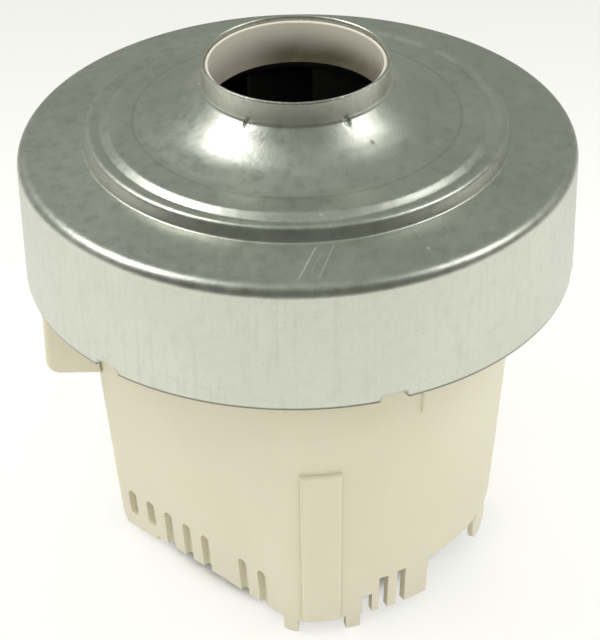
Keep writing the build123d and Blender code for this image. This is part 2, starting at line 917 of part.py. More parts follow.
with BuildPart() as armature_winding:
    extrude(slot_section(stack_bottom, winding_clear), amount=stack_height)
    add(ring(commutator_top, stack_bottom, winding_outer_radius, winding_inner_radius))
    add(ring(stack_top, winding_top, winding_outer_radius, winding_inner_radius))
    fillet(armature_winding.faces().sort_by(Axis.Z)[0].outer_wire().edges(), winding_round)
    fillet(armature_winding.faces().sort_by(Axis.Z)[-1].outer_wire().edges(), winding_round)
armature_winding.part.label = "armature_winding"
export_step(armature_winding.part, "parts/armature_winding.step")

# Commutator: copper bars round a moulded hub
with BuildPart() as commutator_hub:
    add(ring(commutator_bottom, commutator_top, commutator_hub_radius - fit_gap, shaft_radius + fit_gap))
commutator_hub.part.label = "commutator_hub"
export_step(commutator_hub.part, "parts/commutator_hub.step")

with BuildPart() as commutator_bars:
    add(ring(commutator_bottom, commutator_top, commutator_radius, commutator_hub_radius))
    add(ring(commutator_top - riser_height, commutator_top, riser_radius, commutator_hub_radius))
    with Locations(Plane.XY.offset(commutator_bottom)):
        with PolarLocations((commutator_hub_radius + riser_radius) / 2, armature_slots):
            Box(
                riser_radius - commutator_hub_radius + cut_over,
                bar_gap,
                commutator_length,
                align=(Align.CENTER, Align.CENTER, Align.MIN),
                mode=Mode.SUBTRACT,
            )
commutator_bars.part.label = "commutator_bars"
export_step(commutator_bars.part, "parts/commutator_bars.step")

# Stator stack: a yoke with two poles, drawn with the poles along Y and turned to their angle
pole_turn = pole_angle - 90
stator_plane = Plane.XY.offset(stack_bottom).rotated((0, 0, pole_turn))
with BuildPart() as stator_core:
    with BuildSketch(stator_plane):
        Circle(stator_radius)
        Rectangle(2 * stator_flat, 3 * stator_radius, mode=Mode.INTERSECT)
        with Locations((0, stator_screw_circle), (0, -stator_screw_circle)):
            Circle(stator_screw_radius + seat_gap, mode=Mode.SUBTRACT)
        Circle(stator_bore, mode=Mode.SUBTRACT)
    extrude(amount=stack_height)
    with BuildSketch(stator_plane) as coil_windows:
        Circle(stator_radius - yoke_depth)
        Rectangle(2 * (stator_flat - yoke_depth), 2 * stator_radius, mode=Mode.INTERSECT)
        Rectangle(2 * pole_half_width, 2 * stator_radius, mode=Mode.SUBTRACT)
        for middle in (90, 270):
            start = middle - pole_tip_angle / 2
            pole_tip = sector_section(0, stator_bore / 2, pole_tip_radius, start, start + pole_tip_angle)
            add(pole_tip, mode=Mode.SUBTRACT)
    extrude(amount=stack_height, mode=Mode.SUBTRACT)
stator_core.part.label = "stator_core"
export_step(stator_core.part, "parts/stator_core.step")

# Field coils: each is wound round its pole, through the windows and over both ends of the stack
coil_bottom = stack_bottom - coil_end_height
coil_top = stack_top + coil_end_height
coil_half_width = stator_flat - yoke_depth - coil_clear
for coil_name, coil_middle in (("rear_field_coil", pole_angle), ("front_field_coil", pole_angle + 180)):
    coil_start = coil_middle - coil_angle / 2
    with BuildPart() as field_coil:
        with BuildSketch(Plane.XY.offset(coil_bottom)):
            add(sector_section(0, coil_inner_radius, coil_outer_radius, coil_start, coil_start + coil_angle))
            Rectangle(2 * coil_half_width, 2 * stator_radius, rotation=pole_turn, mode=Mode.INTERSECT)
        extrude(amount=coil_top - coil_bottom)
        end_faces = field_coil.faces().sort_by(Axis.Z)
        fillet(end_faces[0].edges() + end_faces[-1].edges(), coil_end_round)
        with Locations(Plane.XY.offset(stack_bottom - coil_clear).rotated((0, 0, coil_middle))):
            with Locations((coil_outer_radius, 0)):
                Box(
                    2 * coil_outer_radius,
                    2 * (pole_half_width + coil_clear),
                    stack_height + 2 * coil_clear,
                    align=(Align.CENTER, Align.CENTER, Align.MIN),
                    mode=Mode.SUBTRACT,
                )
    field_coil.part.label = coil_name
    export_step(field_coil.part, "parts/" + coil_name + ".step")

with BuildPart() as stator_screws:
    with Locations(Plane.XY.offset(stack_top)):
        with PolarLocations(stator_screw_circle, 2, pole_angle):
            Cylinder(
                stator_screw_head_radius,
                stator_screw_head_height,
                align=(Align.CENTER, Align.CENTER, Align.MIN),
            )
            Cylinder(
                stator_screw_radius,
                stack_height + stator_screw_bite,
                align=(Align.CENTER, Align.CENTER, Align.MAX),
            )
    with Locations(Plane.XY.offset(stack_top + stator_screw_head_height)):
        with PolarLocations(stator_screw_circle, 2, pole_angle):
            Box(
                2 * stator_screw_head_radius,
                screw_slot_width,
                screw_slot_depth,
                align=(Align.CENTER, Align.CENTER, Align.MAX),
                mode=Mode.SUBTRACT,
            )
stator_screws.part.label = "stator_screws"
export_step(stator_screws.part, "parts/stator_screws.step")

# Motor housing
cavity_radius = wall_radius(floor_top) - housing_wall
cavity_flat = flat_distance(floor_top) - flat_wall
skirt_radius = housing_radius - housing_wall
skirt_flat = housing_flat - flat_wall
holder_half_width = brush_width / 2 + brush_clear + tube_wall + holder_wall
opening_start = holder_start - holder_opening_clear
opening_end = tube_end + holder_opening_clear
with BuildPart() as housing_rib:
    # one rib: a seat under the stator's edge, then a guide beside it
    with BuildSketch(Plane.XZ.offset(-rib_width / 2)):
        with BuildLine():
            Polyline(
                (stator_radius - rib_seat, floor_top),
                (stator_radius - rib_seat, stack_bottom),
                (stator_radius + rib_clear, stack_bottom),
                (stator_radius + rib_clear, flange_bottom),
                (wall_radius(flange_bottom) - housing_wall / 2, flange_bottom),
                (wall_radius(floor_top) - housing_wall / 2, floor_top),
                close=True,
            )
        make_face()
    extrude(amount=rib_width)

with BuildPart() as boss_web:
    # ties a screw boss to the wall
    with BuildSketch(Plane.XZ.offset(-rib_width / 2)):
        with BuildLine():
            Polyline(
                (stator_screw_circle + screw_boss_radius / 2, floor_top),
                (stator_screw_circle + screw_boss_radius / 2, stack_bottom),
                (wall_radius(stack_bottom) - housing_wall / 2, stack_bottom),
                (wall_radius(floor_top) - housing_wall / 2, floor_top),
                close=True,
            )
        make_face()
    extrude(amount=rib_width)

with BuildPart() as shroud:
    # the connector shroud's block, drawn on the right and turned to the left side
    with BuildSketch(Plane.XZ.offset(-shroud_half_width)) as shroud_side:
        with BuildLine():
            Polyline(
                (wall_radius(shroud_bottom) - housing_wall / 2, shroud_bottom),
                (shroud_outer, shroud_bottom),
                (shroud_outer, flange_bottom),
                (wall_radius(flange_bottom) - housing_wall / 2, flange_bottom),
                close=True,
            )
        make_face()
        outer_foot = shroud_side.vertices().group_by(Axis.X)[-1].sort_by(Axis.Y)[0]
        fillet(outer_foot, shroud_corner)
    extrude(amount=2 * shroud_half_width)
    outer_edges = shroud.faces().filter_by(Axis.X).sort_by(Axis.X)[-1].edges().filter_by(Axis.Z)
    fillet(outer_edges, shroud_edge)
    # its top stays clear of the casing's edge
    edge_room = ring(casing_bottom - cut_over, flange_bottom, casing_radius + cut_over, flange_radius)
    add(edge_room, mode=Mode.SUBTRACT)

with BuildPart() as skirt_tab:
    # the set-back loose end of the skirt
    tab_radius = wall_radius(floor_bottom) - tab_step
    extrude(
        sector_section(foot_height + tab_rise, tab_radius - tab_thickness, tab_radius, tab_start, tab_end),
        amount=floor_bottom - foot_height - tab_rise,
    )
    tab_edges = skirt_tab.edges().filter_by(GeomType.LINE).group_by(Axis.Z)[0]
    fillet(tab_edges, tab_round)
    with Locations(radial_plane(tab_hole_angle, floor_bottom - tab_hole_width, tab_radius)):
        Box(tab_hole_width, tab_hole_width, 2 * cut_over + 2 * tab_thickness, mode=Mode.SUBTRACT)

with BuildPart() as motor_housing:
    outer_wall = flatted_section(0, housing_radius, housing_flat, housing_corner)
    extrude(outer_wall, amount=flange_bottom, taper=taper_angle)
    add(ring(flange_bottom, flange_top, flange_radius, stator_radius))
    # the room for the motor
    cavity = flatted_section(floor_top, cavity_radius, cavity_flat, housing_corner - housing_wall)
    extrude(cavity, amount=flange_top + cut_over - floor_top, taper=taper_angle, mode=Mode.SUBTRACT)
    # the open space under the floor
    underside = flatted_section(0, skirt_radius, skirt_flat, housing_corner - housing_wall)
    extrude(underside, amount=floor_bottom, taper=taper_angle, mode=Mode.SUBTRACT)
    # hub for the lower bearing
    with BuildSketch(Plane.XY.offset(hub_bottom)):
        Circle(hub_radius)
    extrude(amount=floor_top - hub_bottom)
    with BuildSketch(Plane.XY.offset(hub_bottom + hub_floor)):
        Circle(bearing_radius + fit_gap)
    extrude(amount=floor_top - hub_bottom, mode=Mode.SUBTRACT)
    # ribs that seat and centre the stator, and bosses for its screws
    for angle in rib_angles:
        add(housing_rib.part.rotate(Axis.Z, angle))
    with BuildSketch(Plane.XY.offset(floor_top)):
        with PolarLocations(stator_screw_circle, 2, pole_angle):
            Circle(screw_boss_radius)
    extrude(amount=stack_bottom - floor_top)
    for angle in (pole_angle, pole_angle + 180):
        add(boss_web.part.rotate(Axis.Z, angle))
    with BuildSketch(Plane.XY.offset(stack_bottom - stator_screw_bite - cut_over)):
        with PolarLocations(stator_screw_circle, 2, pole_angle):
            Circle(stator_screw_radius + fit_gap)
    extrude(amount=stator_screw_bite + cut_over, mode=Mode.SUBTRACT)
    # air slots in the floor
    with BuildSketch(Plane.XY.offset(floor_bottom)):
        grille_span = grille_pitch_angle * (grille_count - 1)
        for middle in (flat_angle, flat_angle + 90, flat_angle + 180, flat_angle + 270):
            with PolarLocations(
                (grille_inner + grille_outer) / 2,
                grille_count,
                middle - grille_span / 2,
                grille_span,
                endpoint=True,
            ):
                SlotOverall(grille_outer - grille_inner, grille_slot_width)
    extrude(amount=floor_thickness, mode=Mode.SUBTRACT)
    # openings for the brush holders, with their screw holes
    with BuildSketch(Plane.XY.offset(floor_bottom)):
        with PolarLocations((opening_start + opening_end) / 2, 2):
            Rectangle(opening_end - opening_start, 2 * (holder_half_width + holder_opening_clear))
        for side in (1, -1):
            with Locations(
                (side * holder_screw_along, holder_screw_across),
                (side * holder_screw_along, -holder_screw_across),
            ):
                Circle(holder_screw_radius + fit_gap)
    extrude(amount=floor_thickness, mode=Mode.SUBTRACT)
    # bosses under the flange for the bracket's screws
    with BuildSketch(Plane.XY.offset(flange_bottom - flange_boss_height)):
        with PolarLocations(bracket_screw_circle, bracket_screw_count, bracket_screw_angle):
            Circle(flange_boss_radius)
    extrude(amount=flange_boss_height)
    with BuildSketch(Plane.XY.offset(bracket_top - bracket_screw_length - cut_over)):
        with PolarLocations(bracket_screw_circle, bracket_screw_count, bracket_screw_angle):
            Circle(bracket_screw_radius + fit_gap)
    extrude(amount=bracket_screw_length + cut_over, mode=Mode.SUBTRACT)
    # raised strips on the round wall, the same on both halves
    front_rib = wall_strip(
        foot_height, front_rib_top, front_rib_depth, front_rib_start, front_rib_end, front_rib_round
    )
    side_ledge = wall_strip(
        side_ledge_bottom, flange_bottom, side_ledge_depth, side_ledge_start, side_ledge_end, side_ledge_round
    )
    for turn in (0, 180):
        add(front_rib.rotate(Axis.Z, turn))
        add(side_ledge.rotate(Axis.Z, turn))
    # the skirt's gaps: up to the floor beyond its ends, and between the feet
    feet_and_ends = ((skirt_start, heel_end),) + skirt_feet + ((skirt_end, skirt_end),)
    for turn in (0, 180):
        extrude(
            sector_section(0, skirt_inner, casing_radius, skirt_end + turn, skirt_start + 180 + turn),
            amount=floor_bottom,
            mode=Mode.SUBTRACT,
        )
        extrude(
            sector_section(0, skirt_inner, casing_radius, skirt_start + turn, skirt_feet[0][0] + turn),
            amount=heel_lift,
            mode=Mode.SUBTRACT,
        )
        for foot, next_foot in zip(feet_and_ends, feet_and_ends[1:]):
            extrude(
                sector_section(0, skirt_inner, casing_radius, foot[1] + turn, next_foot[0] + turn),
                amount=foot_height,
                mode=Mode.SUBTRACT,
            )
        # the heel at the skirt's start has a large round corner
        corner_angle = degrees(skirt_corner / housing_radius)
        with BuildSketch(radial_plane(skirt_start + corner_angle + turn, 0, skirt_inner)):
            with Locations((0, skirt_corner)):
                Rectangle(2 * skirt_corner, skirt_corner + cut_over, align=(Align.MAX, Align.MAX))
                Circle(skirt_corner, mode=Mode.SUBTRACT)
        extrude(amount=casing_radius - skirt_inner, mode=Mode.SUBTRACT)
        add(skirt_tab.part.rotate(Axis.Z, turn))
    # vents beside the foot, open at the bottom
    for turn in (0, 180):
        for vent_angle, vent_rise in zip(vent_angles, vent_rises):
            with BuildSketch(radial_plane(vent_angle + turn, foot_height, skirt_inner)):
                with Locations((0, vent_rise / 2)):
                    Rectangle(vent_width, vent_rise)
                with Locations((0, vent_rise - vent_width / 2)):
                    Circle(vent_width / 2)
            extrude(amount=casing_radius - skirt_inner, mode=Mode.SUBTRACT)
    # grooves along the foot of each flat
    flat_half_length = sqrt(wall_radius(foot_height) ** 2 - flat_distance(foot_height) ** 2)
    for turn in (0, 180):
        groove_floor = flat_distance(foot_height) - groove_depth
        with BuildSketch(radial_plane(flat_angle + 180 + turn, foot_height, groove_floor)):
            for index, share in enumerate(groove_shares):
                lift = short_groove_lift if index < 2 else -cut_over
                groove_top = groove_length
                with Locations((share * flat_half_length, (groove_top + lift) / 2)):
                    SlotOverall(groove_top - lift, groove_width, rotation=90)
        extrude(amount=2 * groove_depth, mode=Mode.SUBTRACT)
    # the connector shroud, open below, with slots for the terminals in its ceiling
    add(shroud.part.rotate(Axis.Z, 180))
    shroud_depth = shroud_outer - shroud_wall - shroud_cavity_inner
    shroud_middle = -(shroud_outer - shroud_wall + shroud_cavity_inner) / 2
    with BuildSketch(Plane.XY.offset(shroud_bottom - cut_over)):
        with Locations((shroud_middle, 0)):
            RectangleRounded(shroud_depth, 2 * (shroud_half_width - shroud_wall), shroud_edge - seat_gap)
    extrude(amount=shroud_ceiling + cut_over - shroud_bottom, mode=Mode.SUBTRACT)
    upper_room = shroud_outer - shroud_wall - stator_radius
    with BuildSketch(Plane.XY.offset(shroud_ceiling + shroud_ceiling_thickness)):
        with Locations((-stator_radius - upper_room / 2, 0)):
            Rectangle(upper_room, 2 * (shroud_half_width - shroud_wall))
    extrude(amount=flange_top, mode=Mode.SUBTRACT)
    with BuildSketch(Plane.XY.offset(shroud_ceiling)):
        with GridLocations(0, terminal_pitch, 1, 2):
            with Locations((-terminal_centre, 0)):
                Rectangle(terminal_width + 2 * seat_gap, terminal_thickness + 2 * seat_gap)
    extrude(amount=shroud_ceiling_thickness, mode=Mode.SUBTRACT)
motor_housing.part.label = "motor_housing"
export_step(motor_housing.part, "parts/motor_housing.step")

# Terminals: stamped blades that hang into the shroud, each with a head on its ceiling
terminal_head_bottom = shroud_ceiling + shroud_ceiling_thickness
terminal_head_outer = terminal_centre + terminal_width / 2 + terminal_shoulder
for terminal_name, across in (("front_terminal", -terminal_pitch / 2), ("rear_terminal", terminal_pitch / 2)):
    with BuildPart() as terminal:
        with BuildSketch(Plane.XZ.offset(-across - terminal_thickness / 2)) as blade_outline:
            with Locations((-terminal_centre, (terminal_tip + terminal_head_bottom) / 2)):
                Rectangle(terminal_width, terminal_head_bottom - terminal_tip)
            chamfer(blade_outline.vertices().group_by(Axis.Y)[0], terminal_width / 4)
            with Locations((-(terminal_head_inner + terminal_head_outer) / 2, terminal_head_bottom)):
                Rectangle(
                    terminal_head_outer - terminal_head_inner,
                    terminal_head_height,
                    align=(Align.CENTER, Align.MIN),
                )
        extrude(amount=terminal_thickness)
    terminal.part.label = terminal_name
    export_step(terminal.part, "parts/" + terminal_name + ".step")

# Brush gear. Each piece is drawn on the right side and turned half round for the left one.
tube_half_width = brush_width / 2 + brush_clear + tube_wall
tube_half_height = brush_height / 2 + brush_clear + tube_wall
holder_half_height = tube_half_height + holder_wall
brush_face = commutator_radius + brush_gap
brush_back = brush_face + brush_length

with BuildPart() as brush_tube:
    with BuildSketch(Plane.YZ.offset(tube_start)):
        with Locations((0, brush_level)):
            Rectangle(2 * tube_half_width, 2 * tube_half_height)
            Rectangle(
                2 * (tube_half_width - tube_wall),
                2 * (tube_half_height - tube_wall),
                mode=Mode.SUBTRACT,
            )
    extrude(amount=tube_end - tube_start)

with BuildPart() as brush_holder:
    holder_top = brush_level + holder_half_height
    with BuildSketch(Plane.XY.offset(floor_bottom)):
        with Locations(((holder_start + tube_end) / 2, 0)):
            Rectangle(tube_end - holder_start, 2 * holder_half_width)
    extrude(amount=holder_top - floor_bottom)
    with BuildSketch(Plane.XY.offset(floor_bottom - holder_plate_thickness)) as holder_plate:
        with Locations(((holder_start + holder_plate_end) / 2, 0)):
            Rectangle(holder_plate_end - holder_start, 2 * holder_plate_half_width)
        fillet(holder_plate.vertices(), holder_wall)
        plate_room = flatted_section(
            0,
            skirt_radius - holder_opening_clear,
            skirt_flat - holder_opening_clear,
            housing_corner - housing_wall,
        )
        add(plate_room, mode=Mode.INTERSECT)
        with Locations((holder_screw_along, holder_screw_across), (holder_screw_along, -holder_screw_across)):
            Circle(holder_screw_radius + seat_gap, mode=Mode.SUBTRACT)
    extrude(amount=holder_plate_thickness)
    with BuildSketch(Plane.YZ.offset(holder_start)):
        with Locations((0, brush_level)):
            Rectangle(2 * (tube_half_width + fit_gap), 2 * (tube_half_height + fit_gap))
    extrude(amount=tube_end - holder_start, mode=Mode.SUBTRACT)

with BuildPart() as carbon_brush:
    with BuildSketch(Plane.YZ.offset(commutator_radius)):
        with Locations((0, brush_level)):
            Rectangle(brush_width, brush_height)
    extrude(amount=brush_back - commutator_radius)
    # the running face is worn to the commutator's round
    with BuildSketch(Plane.XY.offset(brush_level - brush_height)):
        Circle(brush_face)
    extrude(amount=2 * brush_height, mode=Mode.SUBTRACT)

with BuildPart() as brush_shunt:
    with BuildSketch(Plane.YZ.offset(brush_back)):
        with Locations((0, brush_level)):
            Circle(brush_shunt_radius)
    extrude(amount=brush_shunt_length)

with BuildPart() as brush_cap:
    with BuildSketch(Plane.YZ.offset(tube_end)):
        with Locations((0, brush_level)):
            Rectangle(2 * tube_half_width, 2 * tube_half_height)
        with Locations((0, brush_level + tube_half_height)):
            Rectangle(tube_half_width, brush_cap_tab, align=(Align.CENTER, Align.MIN))
        with Locations((0, brush_level)):
            Circle(brush_cap_hole, mode=Mode.SUBTRACT)
    extrude(amount=brush_cap_thickness)

spring_start = brush_back + spring_wire + seat_gap
spring_end = tube_end - spring_wire - seat_gap
with BuildPart() as brush_spring:
    with BuildLine() as coil_line:
        Helix(
            (spring_end - spring_start) / spring_turns,
            spring_end - spring_start,
            spring_radius,
            center=(spring_start, 0, brush_level),
            direction=(1, 0, 0),
        )
    with BuildSketch(Plane(origin=coil_line.line @ 0, z_dir=coil_line.line % 0)):
        Circle(spring_wire)
    sweep()

for side_name, turn in (("right", 0), ("left", 180)):
    for part_name, piece in (
        ("brush_holder", brush_holder),
        ("brush_tube", brush_tube),
        ("carbon_brush", carbon_brush),
        ("brush_shunt", brush_shunt),
        ("brush_spring", brush_spring),
        ("brush_cap", brush_cap),
    ):
        placed = piece.part.rotate(Axis.Z, turn)
        placed.label = side_name + "_" + part_name
        export_step(placed, "parts/" + placed.label + ".step")

holder_plate_bottom = floor_bottom - holder_plate_thickness
with BuildPart() as brush_holder_screws:
    with Locations(Plane.XY.offset(holder_plate_bottom)):
        with GridLocations(2 * holder_screw_along, 2 * holder_screw_across, 2, 2):
            Cylinder(
                holder_screw_head_radius,
                holder_screw_head_height,
                align=(Align.CENTER, Align.CENTER, Align.MAX),
            )
            Cylinder(
                holder_screw_radius,
                holder_plate_thickness + holder_screw_bite,
                align=(Align.CENTER, Align.CENTER, Align.MIN),
            )
    with Locations(Plane.XY.offset(holder_plate_bottom - holder_screw_head_height)):
        with GridLocations(2 * holder_screw_along, 2 * holder_screw_across, 2, 2):
            Box(
                2 * holder_screw_head_radius,
                screw_slot_width,
                screw_slot_depth,
                align=(Align.CENTER, Align.CENTER, Align.MIN),
                mode=Mode.SUBTRACT,
            )
brush_holder_screws.part.label = "brush_holder_screws"
export_step(brush_holder_screws.part, "parts/brush_holder_screws.step")

# Insulated leads: each terminal to a coil, and each coil to a brush
head_level = terminal_head_bottom + terminal_head_height - lead_radius
terminal_lead_level = stack_top + terminal_lead_rise
head_end = terminal_head_inner - lead_end_gap
coil_side = coil_outer_radius + lead_end_gap
rear_across = terminal_pitch / 2
rear_terminal_lead = lead_wire(
    (
        (-head_end, rear_across, head_level),
        (terminal_lead_stub - head_end, rear_across, head_level),
        (-coil_side - terminal_lead_run, rear_across, terminal_lead_level),
        (-coil_side, rear_across, terminal_lead_level),
    ),
    lead_bend,
)
coil_end_radius = (coil_inner_radius + coil_half_width) / 2 + coil_clear
coil_end = polar(coil_end_radius, terminal_lead_angle) + polar(lead_end_gap, terminal_lead_angle - 90)
front_points = [
    (-head_end, -rear_across, head_level),
    (terminal_lead_stub - head_end, -rear_across, head_level),
]
for share, angle in terminal_lead_shares:
    place = polar(share * stator_radius, angle)
    front_points.append((place.X, place.Y, terminal_lead_level))
front_points.append((coil_end.X, coil_end.Y, terminal_lead_level))
front_terminal_lead = lead_wire(front_points, lead_bend)
with BuildPart() as terminal_leads:
    add(rear_terminal_lead)
    add(front_terminal_lead)
terminal_leads.part.label = "terminal_leads"
export_step(terminal_leads.part, "parts/terminal_leads.step")

coil_lead_level = stack_bottom - coil_lead_drop
tab_level = brush_level + tube_half_height + brush_cap_tab / 2
coil_lead = lead_wire(
    (
        (coil_side, coil_lead_across, coil_lead_level),
        (coil_side + coil_lead_out, coil_lead_across, coil_lead_level),
        (coil_side + coil_lead_out, coil_lead_across, tab_level),
        (tube_end + brush_cap_thickness + lead_end_gap, coil_lead_across, tab_level),
    ),
    lead_bend,
)
with BuildPart() as coil_leads:
    for turn in (0, 180):
        add(coil_lead.rotate(Axis.Z, turn))
coil_leads.part.label = "coil_leads"
export_step(coil_leads.part, "parts/coil_leads.step")
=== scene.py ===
import json
import math
import bpy
from mathutils import Matrix, Vector


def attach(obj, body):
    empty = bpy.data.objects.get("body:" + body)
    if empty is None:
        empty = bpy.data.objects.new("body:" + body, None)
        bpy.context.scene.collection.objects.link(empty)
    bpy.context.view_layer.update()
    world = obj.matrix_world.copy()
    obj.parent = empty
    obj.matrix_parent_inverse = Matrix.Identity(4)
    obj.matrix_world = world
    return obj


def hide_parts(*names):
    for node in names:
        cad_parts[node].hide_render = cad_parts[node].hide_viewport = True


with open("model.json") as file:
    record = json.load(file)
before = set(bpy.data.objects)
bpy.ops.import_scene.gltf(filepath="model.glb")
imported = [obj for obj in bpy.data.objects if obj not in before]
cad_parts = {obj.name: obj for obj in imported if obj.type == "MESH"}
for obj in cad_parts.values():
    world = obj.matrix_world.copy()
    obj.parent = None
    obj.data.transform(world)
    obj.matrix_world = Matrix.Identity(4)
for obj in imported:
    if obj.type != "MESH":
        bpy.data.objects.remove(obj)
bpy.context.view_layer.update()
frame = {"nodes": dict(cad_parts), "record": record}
nodes = frame["nodes"]
print("frame loaded:", len(nodes), "nodes")

scene = bpy.context.scene
scene.view_settings.view_transform = "Standard"

camera = {
    "place": (-0.00089, -0.50828, 0.40128),
    "right": (0.999798, -0.012085, -0.016064),
    "up": (0.02007, 0.555062, 0.831566),
    "ahead": (0.001131, 0.83172, -0.555192),
    "lens": 135.917,
    "sensor": 36.0,
    "nearest": 0.02,
    "farthest": 20.0,
}
camData = bpy.data.cameras.new("camera")
camData.lens = camera["lens"]
camData.sensor_width = camera["sensor"]
camData.clip_start, camData.clip_end = camera["nearest"], camera["farthest"]
camObject = bpy.data.objects.new("camera", camData)
scene.collection.objects.link(camObject)
columns = [Vector(camera["right"]), Vector(camera["up"]), -Vector(camera["ahead"])]
turned = Matrix(columns).transposed().to_4x4()
camObject.matrix_world = Matrix.Translation(camera["place"]) @ turned
scene.camera = camObject


class Wire:
    # a node's output that takes part in sums
    def __init__(self, maker, socket):
        self.maker = maker
        self.socket = socket

    def sum(self, operation, first, second=None):
        values = {0: first} if second is None else {0: first, 1: second}
        return self.maker.node("ShaderNodeMath", {"operation": operation}, values)

    def __add__(self, other):
        return self.sum("ADD", self, other)

    __radd__ = __add__

    def __sub__(self, other):
        return self.sum("SUBTRACT", self, other)

    def __rsub__(self, other):
        return self.sum("SUBTRACT", other, self)

    def __mul__(self, other):
        return self.sum("MULTIPLY", self, other)

    __rmul__ = __mul__

    def __pow__(self, other):
        return self.sum("POWER", self, other)

    def __rpow__(self, other):
        return self.sum("POWER", other, self)

    def __abs__(self):
        return self.sum("ABSOLUTE", self)


class Finish:
    # a material, or the world's shader, with one method for all of its nodes
    def __init__(self, name, tree=None):
        if tree is None:
            self.material = bpy.data.materials.new(name)
            self.material.use_nodes = True
            tree = self.material.node_tree
        self.tree = tree
        self.tree.nodes.clear()

    def node(self, kind, settings=None, values=None, outputs=(0,)):
        made = self.tree.nodes.new(kind)
        for key, value in (settings or {}).items():
            setattr(made, key, value)
        for key, value in (values or {}).items():
            self.plug(made.inputs[key], value)
        wires = [Wire(self, made.outputs[key]) for key in outputs if len(made.outputs)]
        return wires[0] if len(wires) == 1 else wires

    def plug(self, socket, value):
        if isinstance(value, Wire):
            self.tree.links.new(value.socket, socket)
        elif isinstance(value, tuple) and socket.type == "RGBA" and len(value) == 3:
            socket.default_value = (*value, 1)
        else:
            socket.default_value = value

    def mix(self, factor, first, second):
        # colours: sockets 6 and 7 of a Mix node, output 2
        values = {0: factor, 6: first, 7: second}
        return self.node("ShaderNodeMix", {"data_type": "RGBA"}, values, (2,))

    def place(self):
        return self.node("ShaderNodeTexCoord", outputs=("Object",))

    def apart(self, vector):
        return self.node("ShaderNodeSeparateXYZ", {}, {0: vector}, (0, 1, 2))

    def noise(self, look, vector=None):
        # look: scale, detail, roughness and, where it is warped, distortion
        scale, detail, rough, warp = (*look, 0.0)[:4]
        values = {"Scale": scale, "Detail": detail, "Roughness": rough, "Distortion": warp}
        return self.node("ShaderNodeTexNoise", {}, {"Vector": vector or self.place(), **values})

    def stretch(self, vector, scale, turn=0.0):
        values = {"Vector": vector, "Rotation": (0.0, 0.0, turn), "Scale": scale}
        return self.node("ShaderNodeMapping", {}, values)

    def band(self, value, low, high, first=0.0, last=1.0):
        # a soft step of a value, from first at low to last at high
        return self.node(
            "ShaderNodeMapRange",
            {"interpolation_type": "SMOOTHSTEP"},
            {0: value, 1: low, 2: high, 3: first, 4: last},
        )

    def bump(self, height, strength, reach):
        values = {"Height": height, "Strength": strength, "Distance": reach}
        return self.node("ShaderNodeBump", {}, values)

    def surface(self, **values):
        sockets = {key.replace("_", " "): value for key, value in values.items()}
        shader = self.node("ShaderNodeBsdfPrincipled", {}, sockets)
        self.node("ShaderNodeOutputMaterial", {}, {0: shader})
        return self.material


room = {
    "ceiling": (0.30, 0.32, 0.29),      # the room as mirrors see it: overhead,
    "behind": (0.29, 0.31, 0.28),       # behind the motor
    "before": (0.13, 0.138, 0.122),     # and on the camera's side
    "depth": (-0.45, 0.35),             # where before turns into behind
    "height": (0.70, 0.95),             # where the ceiling begins
    "fillLight": (0.55, 0.55, 0.53),    # even light for all that isn't a mirror
    "backdrop": (1.0, 1.0, 0.985),      # what the camera sees
}
world = bpy.data.worlds.new("studio")
world.use_nodes = True
scene.world = world
sky = Finish("studio", world.node_tree)
skyY, skyZ = sky.apart(sky.node("ShaderNodeTexCoord", outputs=("Generated",)))[1:]
glow = sky.mix(sky.band(skyY, *room["depth"]), room["before"], room["behind"])
glow = sky.mix(sky.band(skyZ, *room["height"]), glow, room["ceiling"])
mirror, seen = sky.node("ShaderNodeLightPath", outputs=("Is Glossy Ray", "Is Camera Ray"))
shade = sky.mix(mirror, room["fillLight"], glow)
shade = sky.mix(seen, shade, room["backdrop"])
light = sky.node("ShaderNodeBackground", {}, {0: shade, 1: 1.0})
sky.node("ShaderNodeOutputWorld", {}, {0: light})

lamps = {
    "aim": (0, 0, 0.07),    # the motor's middle
    # name: azimuth, elevation, distance, diameter, power, seen by mirrors
    "boxes": {
        "boxLeft": (178, 51, 1.15, 0.60, 4.6, True),
        "boxRight": (-4, 45, 1.15, 0.48, 2.3, True),
        "dullLeft": (123, 57, 1.15, 0.7, 2.1, False),
        "dullRight": (59, 57, 1.15, 0.7, 2.1, False),
        "boxFront": (-95, 42, 1.3, 0.9, 5.0, False),
        "boxSide": (8, 16, 1.2, 0.8, 2.4, False),
    },
}
for name, (azimuth, elevation, away, size, power, glossy) in lamps["boxes"].items():
    data = bpy.data.lights.new(name, "AREA")
    data.shape = "DISK"
    data.size = size
    data.energy = power
    lamp = bpy.data.objects.new(name, data)
    scene.collection.objects.link(lamp)
    a, e = math.radians(azimuth), math.radians(elevation)
    way = Vector((math.cos(a) * math.cos(e), math.sin(a) * math.cos(e), math.sin(e)))
    lamp.location = Vector(lamps["aim"]) + way * away
    lamp.rotation_mode = "QUATERNION"
    lamp.rotation_quaternion = way.to_track_quat("Z", "Y")
    lamp.visible_camera = False
    lamp.visible_glossy = glossy

